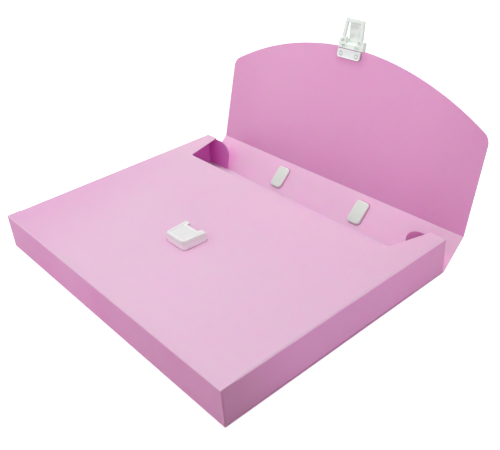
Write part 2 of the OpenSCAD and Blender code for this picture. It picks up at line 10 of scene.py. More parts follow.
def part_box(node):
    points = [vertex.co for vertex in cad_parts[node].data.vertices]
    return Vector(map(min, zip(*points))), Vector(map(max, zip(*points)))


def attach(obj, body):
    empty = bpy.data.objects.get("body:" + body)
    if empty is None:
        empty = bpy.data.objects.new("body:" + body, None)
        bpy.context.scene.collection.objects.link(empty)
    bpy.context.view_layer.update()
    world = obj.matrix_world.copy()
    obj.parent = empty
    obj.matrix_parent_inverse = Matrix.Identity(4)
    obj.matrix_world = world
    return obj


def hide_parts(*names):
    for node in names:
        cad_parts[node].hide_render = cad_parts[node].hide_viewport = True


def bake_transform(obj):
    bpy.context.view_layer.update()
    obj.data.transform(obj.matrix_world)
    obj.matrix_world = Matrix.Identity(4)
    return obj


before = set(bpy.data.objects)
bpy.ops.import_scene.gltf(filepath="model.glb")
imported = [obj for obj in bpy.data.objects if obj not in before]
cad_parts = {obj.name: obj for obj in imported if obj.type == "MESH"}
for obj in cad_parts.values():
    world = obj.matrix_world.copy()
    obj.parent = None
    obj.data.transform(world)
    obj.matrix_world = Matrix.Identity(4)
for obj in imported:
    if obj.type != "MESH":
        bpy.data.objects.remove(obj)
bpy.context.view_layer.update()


# ---------------------------------------------------------------------------
# Camera. It stands over the case's right-hand closed corner and looks down
# across the front panel into the raised lid.
camera_turn = math.radians(50.84)
camera_height = math.radians(31.74)
camera_roll = math.radians(-4.25)
camera_distance = 0.69432
camera_target = Vector((-0.02141, 0.06158, -0.0002))
sensor_width = 36           # in millimetres, as is the lens
focal_length = 49.27
nearest, farthest = 0.02, 20

back = Vector((math.sin(camera_turn) * math.cos(camera_height),
               -math.cos(camera_turn) * math.cos(camera_height),
               math.sin(camera_height)))
across = (-back).cross(Vector((0, 0, 1))).normalized()
upright = across.cross(-back)
rolled_across = across * math.cos(camera_roll) + upright * math.sin(camera_roll)
rolled_up = upright * math.cos(camera_roll) - across * math.sin(camera_roll)

camera_data = bpy.data.cameras.new("camera")
camera_data.sensor_width = sensor_width
camera_data.lens = focal_length
camera_data.clip_start = nearest
camera_data.clip_end = farthest
camera = bpy.data.objects.new("camera", camera_data)
camera.matrix_world = Matrix.Translation(camera_target + back * camera_distance) @ Matrix(
    (rolled_across, rolled_up, back)).transposed().to_4x4()
bpy.context.scene.collection.objects.link(camera)
bpy.context.scene.camera = camera
bpy.context.scene.view_settings.view_transform = "Standard"


# ---------------------------------------------------------------------------
# Studio. A pale paper floor under a dim, even sky. A broad lamp hangs overhead
# and one stands in front on the right; four weaker ones stand on the left, high
# and low, behind the right end of the case and low behind the lid.
background_light = 0.131    # what the sky gives off where the camera doesn't see it as background
white = (1, 1, 1, 1)
paper_grey = (0.62, 0.62, 0.62, 1)
paper_roughness = 0.9
floor_half = 3.0
floor_drop = 0.0004         # keeps the floor clear of the case's underside
fade_start, fade_end = 0.5, 1.4     # the floor grows whiter away from the case and its shadow
near_glow, far_glow = 0.7, 1.0


def lamp(name, place, size, power):
    """A round lamp that shines on the case."""
    data = bpy.data.lights.new(name, "AREA")
    data.shape = "DISK"
    data.size = size
    data.energy = power
    made = bpy.data.objects.new(name, data)
    made.matrix_world = Matrix.Translation(place) @ (-place).to_track_quat("-Z", "Y").to_matrix().to_4x4()
    bpy.context.scene.collection.objects.link(made)


lamp("overhead", Vector((-0.2, 0.1, 1.9)), size=1.4, power=25.4)
lamp("front_right", Vector((1.0, -1.1, 0.9)), size=1.8, power=11.7)
lamp("high_left", Vector((-1.19, -0.86, 1.03)), size=1.7, power=5.5)
lamp("low_left", Vector((-1.5, -1.2, 0.35)), size=0.8, power=4.4)
lamp("right_rear", Vector((0.95, 0.95, 0.55)), size=0.8, power=3.2)
lamp("behind_lid", Vector((-0.5, 1.5, 0.45)), size=1.0, power=6.0)


def feed(tree, socket, value):
    """Links a socket to another one, or sets it to a plain value."""
    if isinstance(value, bpy.types.NodeSocket):
        tree.links.new(value, socket)
    else:
        socket.default_value = value


def reckon(tree, operation, *values):
    """One Math node, fed by sockets or plain numbers."""
    node = tree.nodes.new("ShaderNodeMath")
    node.operation = operation
    for place, value in enumerate(values):
        feed(tree, node.inputs[place], value)
    return node.outputs[0]


def reckon_vector(tree, operation, *values):
    """One Vector Math node. A dot product or a length comes out as a number."""
    node = tree.nodes.new("ShaderNodeVectorMath")
    node.operation = operation
    for place, value in enumerate(values):
        feed(tree, node.inputs[place], value)
    return node.outputs["Value" if operation in ("DOT_PRODUCT", "LENGTH") else "Vector"]


def ramp_between(tree, value, low, high, to_low=0.0, to_high=1.0):
    """A smooth change from to_low to to_high while the value goes from low to high."""
    node = tree.nodes.new("ShaderNodeMapRange")
    node.interpolation_type = "SMOOTHSTEP"
    for title, number in (("Value", value), ("From Min", low), ("From Max", high),
                          ("To Min", to_low), ("To Max", to_high)):
        feed(tree, node.inputs[title], number)
    return node.outputs["Result"]


def background_rays(tree):
    """1 for a ray that shows the white background, straight or by gloss or glass, and 0 for the rest."""
    paths = tree.nodes.new("ShaderNodeLightPath")
    straight_or_gloss = reckon(tree, "MAXIMUM",
                               paths.outputs["Is Camera Ray"], paths.outputs["Is Glossy Ray"])
    return reckon(tree, "MAXIMUM", straight_or_gloss, paths.outputs["Is Transmission Ray"])


world = bpy.data.worlds.new("studio")
bpy.context.scene.world = world
world.use_nodes = True
sky = world.node_tree.nodes["Background"]
sky.inputs["Color"].default_value = white
sky_strength = world.node_tree.nodes.new("ShaderNodeMapRange")
sky_strength.inputs["To Min"].default_value = background_light
sky_strength.inputs["To Max"].default_value = 1.0
feed(world.node_tree, sky_strength.inputs["Value"], background_rays(world.node_tree))
feed(world.node_tree, sky.inputs["Strength"], sky_strength.outputs["Result"])

paper = bpy.data.materials.new("studio_paper")
paper.use_nodes = True
paper_bsdf = paper.node_tree.nodes["Principled BSDF"]
paper_bsdf.inputs["Base Color"].default_value = paper_grey
paper_bsdf.inputs["Roughness"].default_value = paper_roughness
paper_bsdf.inputs["Specular IOR Level"].default_value = 0.0
paper_bsdf.inputs["Emission Color"].default_value = white
paper_seat = paper.node_tree.nodes.new("ShaderNodeTexCoord")
from_case = reckon_vector(paper.node_tree, "LENGTH", paper_seat.outputs["Object"])
paper_glow = ramp_between(paper.node_tree, from_case, fade_start, fade_end, near_glow, far_glow)
feed(paper.node_tree, paper_bsdf.inputs["Emission Strength"],
     reckon(paper.node_tree, "MULTIPLY", background_rays(paper.node_tree), paper_glow))

floor_mesh = bpy.data.meshes.new("floor")
floor_mesh.from_pydata([(-floor_half, -floor_half, 0), (floor_half, -floor_half, 0),
                        (floor_half, floor_half, 0), (-floor_half, floor_half, 0)], [], [(0, 1, 2, 3)])
floor_mesh.materials.append(paper)
floor = bpy.data.objects.new("floor", floor_mesh)
floor.location.z = -floor_drop
bpy.context.scene.collection.objects.link(floor)


# ---------------------------------------------------------------------------
# Back panel. The panel that lies on the table. Like every panel of the blank
# it is satin polypropylene sheet, 0.8 mm thick and dyed pink right through.
# Its welded tabs leave two rows of small round marks along its side edges.
def group_tree(name, inputs, outputs):
    """A shader node group with its sockets, and its input and output nodes."""
    tree = bpy.data.node_groups.new(name, "ShaderNodeTree")
    for title, kind, value in inputs:
        tree.interface.new_socket(title, in_out="INPUT", socket_type=kind).default_value = value
    for title, kind in outputs:
        tree.interface.new_socket(title, in_out="OUTPUT", socket_type=kind)
    return tree, tree.nodes.new("NodeGroupInput").outputs, tree.nodes.new("NodeGroupOutput").inputs


def blend_colours(tree, factor, first, second):
    """The first colour at factor 0 and the second at factor 1."""
    node = tree.nodes.new("ShaderNodeMix")
    node.data_type = "RGBA"
    feed(tree, node.inputs[0], factor)
    for place, colour in ((6, first), (7, second)):
        feed(tree, node.inputs[place], colour if isinstance(colour, bpy.types.NodeSocket) else (*colour, 1))
    return node.outputs[2]


def noise(tree, position, scale, detail, roughness=0.5):
    """The value of one Noise Texture node."""
    node = tree.nodes.new("ShaderNodeTexNoise")
    node.inputs["Detail"].default_value = detail
    node.inputs["Roughness"].default_value = roughness
    feed(tree, node.inputs["Scale"], scale)
    feed(tree, node.inputs["Vector"], position)
    return node.outputs["Fac"]


# Satin grain of an embossed surface: a fine pebble with a few longer waves left by the rollers.
satin_grain, grain_in, grain_out = group_tree(
    "satin_grain",
    [("Position", "NodeSocketVector", (0, 0, 0)), ("Grain scale", "NodeSocketFloat", 1500.0)],
    [("Height", "NodeSocketFloat"), ("Roughness change", "NodeSocketFloat"), ("Tone", "NodeSocketFloat")])
wave_stretch = (1, 0.25, 1)
wave_height = 1.5           # against the pebble's own height
wave_dullness = 0.06
cloud_dullness = 0.12
mean_dullness = 0.09        # taken off again, so that the change is zero on average
pebble = satin_grain.nodes.new("ShaderNodeTexVoronoi")
pebble.feature = "SMOOTH_F1"
pebble.inputs["Smoothness"].default_value = 0.8
feed(satin_grain, pebble.inputs["Vector"], grain_in["Position"])
feed(satin_grain, pebble.inputs["Scale"], grain_in["Grain scale"])
roller_waves = noise(satin_grain, reckon_vector(satin_grain, "MULTIPLY", grain_in["Position"], wave_stretch),
                     scale=60, detail=3)
dull_clouds = noise(satin_grain, grain_in["Position"], scale=14, detail=3, roughness=0.6)
feed(satin_grain, grain_out["Height"],
     reckon(satin_grain, "MULTIPLY_ADD", roller_waves, wave_height, pebble.outputs["Distance"]))
wave_change = reckon(satin_grain, "MULTIPLY_ADD", roller_waves, wave_dullness, -mean_dullness)
feed(satin_grain, grain_out["Roughness change"],
     reckon(satin_grain, "MULTIPLY_ADD", dull_clouds, cloud_dullness, wave_change))
feed(satin_grain, grain_out["Tone"], ramp_between(satin_grain, dull_clouds, low=0.3, high=0.7))

# Handling marks: sparse hairline scratches in two directions, and soft dull patches.
handling_marks, marks_in, marks_out = group_tree(
    "handling_marks",
    [("Position", "NodeSocketVector", (0, 0, 0)), ("Along", "NodeSocketVector", (1, 0, 0)),
     ("Across", "NodeSocketVector", (0, 1, 0))],
    [("Scratches", "NodeSocketFloat"), ("Smudges", "NodeSocketFloat")])
scratch_layers = []
for scratch_lean, long_scale, short_scale, start in ((0.35, 9, 900, 0.0), (-1.1, 14, 1300, 3.7)):
    along = reckon_vector(handling_marks, "DOT_PRODUCT", marks_in["Position"], marks_in["Along"])
    beside = reckon_vector(handling_marks, "DOT_PRODUCT", marks_in["Position"], marks_in["Across"])
    leaned = reckon(handling_marks, "MULTIPLY_ADD", along, scratch_lean, beside)
    drawn = handling_marks.nodes.new("ShaderNodeCombineXYZ")
    feed(handling_marks, drawn.inputs["X"], reckon(handling_marks, "MULTIPLY", along, long_scale))
    feed(handling_marks, drawn.inputs["Y"], reckon(handling_marks, "MULTIPLY", leaned, short_scale))
    drawn.inputs["Z"].default_value = start
    hairlines = noise(handling_marks, drawn.outputs[0], scale=1.0, detail=0)
    scratch_layers.append(ramp_between(handling_marks, hairlines, low=0.78, high=0.86))
feed(handling_marks, marks_out["Scratches"], reckon(handling_marks, "MAXIMUM", *scratch_layers))
patches = noise(handling_marks, marks_in["Position"], scale=26, detail=4, roughness=0.65)
feed(handling_marks, marks_out["Smudges"], ramp_between(handling_marks, patches, low=0.52, high=0.72))

# A fold or an edge: 1 on the plane through a point, fading out within a width on each side.
near_fold, fold_in, fold_out = group_tree(
    "near_fold",
    [("Position", "NodeSocketVector", (0, 0, 0)), ("Fold place", "NodeSocketVector", (0, 0, 0)),
     ("Fold across", "NodeSocketVector", (0, 1, 0)), ("Width", "NodeSocketFloat", 0.001)],
    [("Mask", "NodeSocketFloat")])
from_fold = reckon(near_fold, "ABSOLUTE", reckon_vector(
    near_fold, "DOT_PRODUCT",
    reckon_vector(near_fold, "SUBTRACT", fold_in["Position"], fold_in["Fold place"]), fold_in["Fold across"]))
feed(near_fold, fold_out["Mask"], ramp_between(near_fold, from_fold, 0.0, fold_in["Width"], 1.0, 0.0))

# Two rows of round weld marks along Y, on the lines x = +offset and -offset: a shallow ring round each
# point at a pitch, and the disc inside it.
weld_marks, weld_in, weld_out = group_tree(
    "weld_marks",
    [("Position", "NodeSocketVector", (0, 0, 0)), ("Offset", "NodeSocketFloat", 0.1576),
     ("Pitch", "NodeSocketFloat", 0.024), ("Radius", "NodeSocketFloat", 0.0022)],
    [("Ring", "NodeSocketFloat"), ("Disc", "NodeSocketFloat")])
row_shift = 0.02            # the rows' middle lies this far towards the closed edge
row_half, row_end = 0.095, 0.096
ring_inner, ring_outer = 0.0002, 0.0007
disc_inner, disc_outer = -0.0004, 0.0001
weld_xyz = weld_marks.nodes.new("ShaderNodeSeparateXYZ")
feed(weld_marks, weld_xyz.inputs[0], weld_in["Position"])
weld_x = reckon(weld_marks, "SUBTRACT",
                reckon(weld_marks, "ABSOLUTE", weld_xyz.outputs["X"]), weld_in["Offset"])
weld_turns = reckon(weld_marks, "DIVIDE", weld_xyz.outputs["Y"], weld_in["Pitch"])
off_whole = reckon(weld_marks, "SUBTRACT", weld_turns, reckon(weld_marks, "ROUND", weld_turns))
weld_y = reckon(weld_marks, "MULTIPLY", off_whole, weld_in["Pitch"])
weld_off = reckon(weld_marks, "SQRT", reckon(
    weld_marks, "MULTIPLY_ADD", weld_x, weld_x, reckon(weld_marks, "MULTIPLY", weld_y, weld_y)))
off_ring = reckon(weld_marks, "ABSOLUTE", reckon(weld_marks, "SUBTRACT", weld_off, weld_in["Radius"]))
off_disc = reckon(weld_marks, "SUBTRACT", weld_off, weld_in["Radius"])
from_row_middle = reckon(weld_marks, "ABSOLUTE", reckon(weld_marks, "ADD", weld_xyz.outputs["Y"], row_shift))
within_rows = ramp_between(weld_marks, from_row_middle, row_half, row_end, 1.0, 0.0)
for title, distance, inner, outer in (("Ring", off_ring, ring_inner, ring_outer),
                                      ("Disc", off_disc, disc_inner, disc_outer)):
    feed(weld_marks, weld_out[title], reckon(
        weld_marks, "MULTIPLY", within_rows, ramp_between(weld_marks, distance, inner, outer, 1.0, 0.0)))


def place_group(material, group, **values):
    """One copy of an effect in a material; underscores in a name stand for spaces."""
    node = material.node_tree.nodes.new("ShaderNodeGroup")
    node.node_tree = group
    for title, value in values.items():
        feed(material.node_tree, node.inputs[title.replace("_", " ")], value)
    return node.outputs


polypropylene_ior = 1.49
sheet_roughness = 0.44
sheet_grain_scale = 1600.0
sheet_grain_depth = 0.00002
sheet_bump = 0.35
sheet_glow = 0.6            # share of the light that is scattered inside the sheet
sheet_glow_radius = (1.0, 0.25, 0.7)
sheet_glow_depth = 0.0035
# Folds are painted lighter: the sheet's stress whitening, with a painted highlight of the rounded fold.
crease_whitening_and_highlight = (0.84, 0.50, 0.70)
# Cut edges are painted a dark greyish pink: painted shade for the dark line along the sheet's thin edges.
cut_edge_shade_pink = (0.36, 0.20, 0.29)
scratch_pink = (0.90, 0.66, 0.80)
weld_ring_pink = (0.86, 0.56, 0.74)
pale_share, pale_tone = 0.10, 1.12      # cloudy patches that are paler than the sheet
weld_share, weld_disc_share, weld_disc_tone = 0.55, 0.3, 0.7
scratch_share, scratch_dullness = 0.12, 0.12
smudge_dullness = 0.05
cut_edge_shade_share = 0.65
turned_edge_shade_share = 0.55    # the same, on a panel that runs on into a bend
scratch_depth = 0.5         # these three against the height of the grain
crease_height = 4.0
weld_ring_height = 6.0


def scaled(colour, share):
    """A colour made lighter or darker, up to full strength."""
    return tuple(min(1.0, share * part) for part in colour)


def sheet_material(name, outer, inner, face, inward, along=(1, 0, 0), across=(0, 1, 0), cut_off_face=True,
                   creases=(), painted_fades=(), inner_painted_fades=(), fittings=(), bend_painted_tones=None, welds=False):
    """Dyed sheet, the same right through. The face vector is square to the panel, and surfaces square to that
    are cut edges (or the other way round), which are painted darker: painted edge shade. Surfaces that look
    along inward are inside the case and take the inner colour, which is painted light and shade. Scratches
    run along and across. Fades of painted light and shade run out from a start, and the inner ones do so on
    the inside only. The bend tones are painted light: the two colours that a fold takes as it turns up into
    the front panel and down to the table. Creases are painted lighter, as stress whitening with a painted
    highlight, and fittings get painted halos of shadow and glow."""
    material = bpy.data.materials.new(name)
    material.use_nodes = True
    tree = material.node_tree
    bsdf = tree.nodes["Principled BSDF"]
    seat = tree.nodes.new("ShaderNodeTexCoord")
    position, normal = seat.outputs["Object"], seat.outputs["Normal"]
    grain = place_group(material, satin_grain, Position=position, Grain_scale=sheet_grain_scale)
    marks = place_group(material, handling_marks, Position=position, Along=along, Across=across)

    def with_painted_fades(colour, layers):
        for painted_fade in layers:
            reach = reckon_vector(tree, "DOT_PRODUCT",
                                  reckon_vector(tree, "SUBTRACT", position, painted_fade["start"]), painted_fade["towards"])
            fade = ramp_between(tree, reach, 0.0, painted_fade["length"], painted_fade["strength"], 0.0)
            colour = blend_colours(tree, fade, colour, painted_fade["tone"])
        return colour

    # Faces that look into the case take the inner colour: painted light and shade, paler or deeper than the
    # outer pink.
    inside = ramp_between(tree, reckon_vector(tree, "DOT_PRODUCT", normal, inward), low=0.45, high=0.7)
    colour = blend_colours(tree, inside, outer, with_painted_fades(inner, inner_painted_fades))
    colour = blend_colours(tree, reckon(tree, "MULTIPLY", grain["Tone"], pale_share),
                           colour, scaled(outer, pale_tone))
    # Painted light and shade, each fading out from its start.
    colour = with_painted_fades(colour, painted_fades)
    # Painted light on the bends: the front panel's lit tone where a bend turns up, and a paler tone where it
    # turns down to the table.
    if bend_painted_tones:
        rise = reckon_vector(tree, "DOT_PRODUCT", normal, (0, 0, 1))
        facing_up = ramp_between(tree, rise, low=0.1, high=0.8)
        facing_down = ramp_between(tree, rise, low=-0.6, high=-0.1, to_low=0.8, to_high=0.0)
        colour = blend_colours(tree, facing_up, colour, bend_painted_tones[0])
        colour = blend_colours(tree, facing_down, colour, bend_painted_tones[1])

    bead = None
    # Stress whitening and a painted highlight along each crease.
    for crease in creases:
        near = place_group(material, near_fold, Position=position, Fold_place=crease["place"],
                           Fold_across=crease["across"], Width=crease["width"])["Mask"]
        colour = blend_colours(tree, reckon(tree, "MULTIPLY", near, crease["strength"]), colour, crease_whitening_and_highlight)
        bead = near if bead is None else reckon(tree, "MAXIMUM", bead, near)
    # Painted halos: painted contact shadows and painted glows round fittings and other parts, on the side of
    # the sheet they stand on.
    for halo in fittings:
        beside = place_group(material, round_fitting, Position=position, Middle=halo["middle"],
                             Across=halo["across"], Up=halo["up"], Half_width=halo["half_width"],
                             Half_height=halo["half_height"], Corner=halo["corner"],
                             Reach=halo["reach"])["Mask"]
        halo_side = Vector(halo["across"]).cross(Vector(halo["up"]))
        same_side = ramp_between(tree, reckon_vector(tree, "DOT_PRODUCT", normal, halo_side),
                                 low=0.3, high=0.6, to_high=halo["strength"])
        colour = blend_colours(tree, reckon(tree, "MULTIPLY", beside, same_side), colour, halo["tone"])

    # Painted shade on the cut edges.
    facing = reckon(tree, "ABSOLUTE", reckon_vector(tree, "DOT_PRODUCT", normal, face))
    off_face, on_face = (cut_edge_shade_share, 0.0) if cut_off_face else (0.0, turned_edge_shade_share)
    edge_shade = ramp_between(tree, facing, low=0.45, high=0.65, to_low=off_face, to_high=on_face)
    colour = blend_colours(tree, edge_shade, colour, cut_edge_shade_pink)
    colour = blend_colours(tree, reckon(tree, "MULTIPLY", marks["Scratches"], scratch_share),
                           colour, scratch_pink)
    height = reckon(tree, "MULTIPLY_ADD", marks["Scratches"], -scratch_depth, grain["Height"])
    if bead is not None:
        height = reckon(tree, "MULTIPLY_ADD", bead, crease_height, height)
    if welds:
        weld = place_group(material, weld_marks, Position=position)
        colour = blend_colours(tree, reckon(tree, "MULTIPLY", weld["Ring"], weld_share),
                               colour, weld_ring_pink)
        colour = blend_colours(tree, reckon(tree, "MULTIPLY", weld["Disc"], weld_disc_share),
                               colour, scaled(outer, weld_disc_tone))
        height = reckon(tree, "MULTIPLY_ADD", weld["Ring"], weld_ring_height, height)
    feed(tree, bsdf.inputs["Base Color"], colour)

    roughness = reckon(tree, "ADD", sheet_roughness, grain["Roughness change"])
    roughness = reckon(tree, "MULTIPLY_ADD", marks["Smudges"], smudge_dullness, roughness)
    roughness = reckon(tree, "MULTIPLY_ADD", marks["Scratches"], scratch_dullness, roughness)
    feed(tree, bsdf.inputs["Roughness"], roughness)
    bump = tree.nodes.new("ShaderNodeBump")
    bump.inputs["Strength"].default_value = sheet_bump
    bump.inputs["Distance"].default_value = sheet_grain_depth
    feed(tree, bump.inputs["Height"], height)
    feed(tree, bsdf.inputs["Normal"], bump.outputs["Normal"])
    bsdf.inputs["IOR"].default_value = polypropylene_ior
    bsdf.inputs["Subsurface Weight"].default_value = sheet_glow
    bsdf.inputs["Subsurface Radius"].default_value = sheet_glow_radius
    bsdf.inputs["Subsurface Scale"].default_value = sheet_glow_depth
    return material


def painted_fade(start, towards, length, strength, tone):
    """A tone painted on as light or shade, strongest at its start and fading out over a length."""
    return dict(start=start, towards=towards, length=length, strength=strength, tone=tone)


def dress(node, material):
    """Gives a CAD node its finish, on the object's own slot."""
    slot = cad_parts[node].material_slots[0]
    slot.link = "OBJECT"
    slot.material = material


# Each panel below gets its own pink, though the blank is one sheet dyed the same right through: the
# differences between the panels, and between a panel's outer and inner faces, are painted light and shade.
spine_fold_place = (0, 0.1256, 0.0004)
spine_fold_crease = dict(place=spine_fold_place, across=(0, 1, 0), width=0.0016, strength=0.3)
# Its inner face is painted paler than its outer one, for light that comes through the sheet into the case.
# Inside, painted light fades out from the left end and painted shade fills the depth of the case.
dress("back_panel", sheet_material(
    "back_panel_sheet", outer=(0.72, 0.37, 0.59), inner=(0.87, 0.505, 0.71), face=(0, 0, 1), inward=(0, 0, 1),
    creases=[spine_fold_crease], welds=True,
    inner_painted_fades=[painted_fade((-0.150, 0, 0), (1, 0, 0), length=0.060, strength=0.9, tone=(1.0, 0.56, 0.86)),
                  painted_fade((0, 0.095, 0), (0, 1, 0), length=0.022, strength=0.8, tone=(0.62, 0.19, 0.47))]))


# ---------------------------------------------------------------------------
# Bottom wall. The wall of the closed edge, in the same sheet, with a rounded
# bend at its foot and one at its top. Its cut ends show at the case's upright
# corners.
# The front panel's pink, the palest of the panels: painted sheen on the top face. Bends that turn up into the
# front panel are painted in it too.
front_tone = (0.775, 0.452, 0.625)
wall_shadow = (0.50, 0.195, 0.37)
# Painted light on the bend at a wall's foot, which faces the table.
foot_bend_painted_light = (0.90, 0.52, 0.72)
right_end = (0.165, 0, 0)
# Its outer pink is painted deeper than the front panel's, and its inner pink deeper still: painted shade, and
# the deep pink of light that has come through the sheet. Painted shadow darkens it towards its right end.
dress("bottom_wall", sheet_material(
    "bottom_wall_sheet", outer=(0.775, 0.228, 0.53), inner=(0.64, 0.16, 0.50),
    face=(1, 0, 0), inward=(0, 1, 0), across=(0, 0, 1), cut_off_face=False, bend_painted_tones=(front_tone, foot_bend_painted_light),
    painted_fades=[painted_fade(right_end, (-1, 0, 0), length=0.24, strength=0.50, tone=wall_shadow),
            painted_fade(right_end, (-1, 0, 0), length=0.02, strength=0.30, tone=wall_shadow)]))


# ---------------------------------------------------------------------------
# Side walls. Each is folded down from the front panel and closed by two tabs,
# one welded to the back panel and one welded behind the bottom wall. Round
# ultrasonic welds, 24 mm apart, hold the long tab.
mouth_middle = (0, 0.126, 0)
closed_middle = (0, -0.126, 0)
corner_shadow = (0.47, 0.18, 0.345)
# The walls' pinks are painted: deeper outside than the front panel's and a paler magenta inside, for shade
# and for light that has come through the sheet. Painted shadow darkens them towards the mouth, and most at
# the closed corner.
for side, end in (("left", -1), ("right", 1)):
    dress("side_wall_" + side, sheet_material(
        "side_wall_" + side + "_sheet", outer=(0.82, 0.297, 0.60), inner=(0.89, 0.35, 0.75),
        face=(0, 1, 0), inward=(-end, 0, 0), along=(0, 1, 0), across=(0, 0, 1), cut_off_face=False,
        bend_painted_tones=(front_tone, foot_bend_painted_light),
        painted_fades=[painted_fade(mouth_middle, (0, -1, 0), length=0.090, strength=0.22, tone=wall_shadow),
                painted_fade(closed_middle, (0, 0.9, 0.43), length=0.085, strength=0.95, tone=corner_shadow)]))

weld_count = 8
weld_pitch = 0.024
weld_radius = 0.0018
weld_top_share = 0.72       # radius of a head's flat top, against its foot
weld_height = 0.0003
weld_sides = 20
weld_row_x = 0.1576         # the middle of the long tab
weld_first_y = -0.12 + weld_pitch
tab_top = 0.0016
weld_sunk = 0.0001          # how deep a head's foot stands in the tab

weld_row = bpy.data.node_groups.new("weld_row", "GeometryNodeTree")
weld_row.interface.new_socket("Geometry", in_out="INPUT", socket_type="NodeSocketGeometry")
for title, kind, value in (("Count", "NodeSocketInt", weld_count),
                           ("Pitch", "NodeSocketFloat", weld_pitch),
                           ("Radius", "NodeSocketFloat", weld_radius),
                           ("Height", "NodeSocketFloat", weld_height),
                           ("Material", "NodeSocketMaterial", None)):
    socket = weld_row.interface.new_socket(title, in_out="INPUT", socket_type=kind)
    if value is not None:
        socket.default_value = value
weld_row.interface.new_socket("Geometry", in_out="OUTPUT", socket_type="NodeSocketGeometry")
row_in = weld_row.nodes.new("NodeGroupInput").outputs
row_out = weld_row.nodes.new("NodeGroupOutput").inputs
row_step = weld_row.nodes.new("ShaderNodeCombineXYZ")
feed(weld_row, row_step.inputs["Y"], row_in["Pitch"])
row_line = weld_row.nodes.new("GeometryNodeMeshLine")
feed(weld_row, row_line.inputs["Count"], row_in["Count"])
feed(weld_row, row_line.inputs["Offset"], row_step.outputs[0])
weld_head = weld_row.nodes.new("GeometryNodeMeshCone")
weld_head.inputs["Vertices"].default_value = weld_sides
feed(weld_row, weld_head.inputs["Radius Bottom"], row_in["Radius"])
feed(weld_row, weld_head.inputs["Radius Top"], reckon(weld_row, "MULTIPLY", row_in["Radius"], weld_top_share))
feed(weld_row, weld_head.inputs["Depth"], row_in["Height"])
weld_set = weld_row.nodes.new("GeometryNodeInstanceOnPoints")
feed(weld_row, weld_set.inputs["Points"], row_line.outputs["Mesh"])
feed(weld_row, weld_set.inputs["Instance"], weld_head.outputs["Mesh"])
weld_real = weld_row.nodes.new("GeometryNodeRealizeInstances")
feed(weld_row, weld_real.inputs[0], weld_set.outputs["Instances"])
weld_finish = weld_row.nodes.new("GeometryNodeSetMaterial")
feed(weld_row, weld_finish.inputs["Geometry"], weld_real.outputs[0])
feed(weld_row, weld_finish.inputs["Material"], row_in["Material"])
feed(weld_row, row_out[0], weld_finish.outputs[0])


def grown(name, tree, place, settings):
    """Runs a Geometry Nodes tree once and leaves a plain mesh at the place it is made for."""
    seed = bpy.data.objects.new(name + "_seed", bpy.data.meshes.new(name + "_seed"))
    bpy.context.scene.collection.objects.link(seed)
    modifier = seed.modifiers.new("grow", "NODES")
    modifier.node_group = tree
    for item in tree.interface.items_tree:
        if item.in_out == "INPUT" and item.name in settings:
            modifier[item.identifier] = settings[item.name]
    bpy.context.view_layer.update()
    mesh = bpy.data.meshes.new_from_object(seed.evaluated_get(bpy.context.evaluated_depsgraph_get()))
    seed.modifiers.clear()
    bpy.data.objects.remove(seed)
    mesh.transform(Matrix.Translation(place))
    mesh.name = name
    piece = bpy.data.objects.new(name, mesh)
    bpy.context.scene.collection.objects.link(piece)
    return piece


for side, end in (("left", -1), ("right", 1)):
    welds = grown("tab_welds_" + side, weld_row, (end * weld_row_x, weld_first_y, tab_top - weld_sunk),
                  {"Count": weld_count, "Pitch": weld_pitch, "Radius": weld_radius, "Height": weld_height,
                   "Material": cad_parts["side_wall_" + side].material_slots[0].material})
    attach(welds, "case")


# ---------------------------------------------------------------------------
# Front panel. The upper panel, with the trapezoid notch cut out of its mouth
# and four holes for the keeper's pins. Its sides fold down into the side walls
# and its closed edge into the bottom wall.

# A mask round a fitting that is pressed on to the sheet: 1 at its outline, a rectangle with round corners,
# and fading out over the reach. The sheet uses it for painted shadows and painted glows round the fittings,
# and the mouldings use it for their pin seams.
round_fitting, fitting_in, fitting_out = group_tree(
    "round_fitting",
    [("Position", "NodeSocketVector", (0, 0, 0)), ("Middle", "NodeSocketVector", (0, 0, 0)),
     ("Across", "NodeSocketVector", (1, 0, 0)), ("Up", "NodeSocketVector", (0, 1, 0)),
     ("Half width", "NodeSocketFloat", 0.01), ("Half height", "NodeSocketFloat", 0.01),
     ("Corner", "NodeSocketFloat", 0.003), ("Reach", "NodeSocketFloat", 0.005)],
    [("Mask", "NodeSocketFloat")])
from_middle = reckon_vector(round_fitting, "SUBTRACT", fitting_in["Position"], fitting_in["Middle"])
past_sides = []
for direction, half in (("Across", "Half width"), ("Up", "Half height")):
    beside = reckon(round_fitting, "ABSOLUTE", reckon_vector(
        round_fitting, "DOT_PRODUCT", from_middle, fitting_in[direction]))
    straight = reckon(round_fitting, "SUBTRACT", fitting_in[half], fitting_in["Corner"])
    past = reckon(round_fitting, "MAXIMUM", reckon(round_fitting, "SUBTRACT", beside, straight), 0.0)
    past_sides.append(reckon(round_fitting, "MULTIPLY", past, past))
off_outline = reckon(round_fitting, "SUBTRACT", reckon(
    round_fitting, "SQRT", reckon(round_fitting, "ADD", *past_sides)), fitting_in["Corner"])
feed(round_fitting, fitting_out["Mask"],
     ramp_between(round_fitting, off_outline, 0.0, fitting_in["Reach"], 1.0, 0.0))


def footprint(node, across, up, shift=0.0):
    """Middle and half sizes of a CAD node along two directions, with the middle moved along the first one."""
    points = [vertex.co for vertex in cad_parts[node].data.vertices]
    middle, halves = Vector(across) * shift, []
    for direction in (Vector(across), Vector(up)):
        along = [point.dot(direction) for point in points]
        middle += direction * (min(along) + max(along)) / 2
        halves.append((max(along) - min(along)) / 2)
    return dict(middle=tuple(middle), across=across, up=up, half_width=halves[0], half_height=halves[1])


keeper_foot = footprint("keeper_housing", (1, 0, 0), (0, 1, 0))
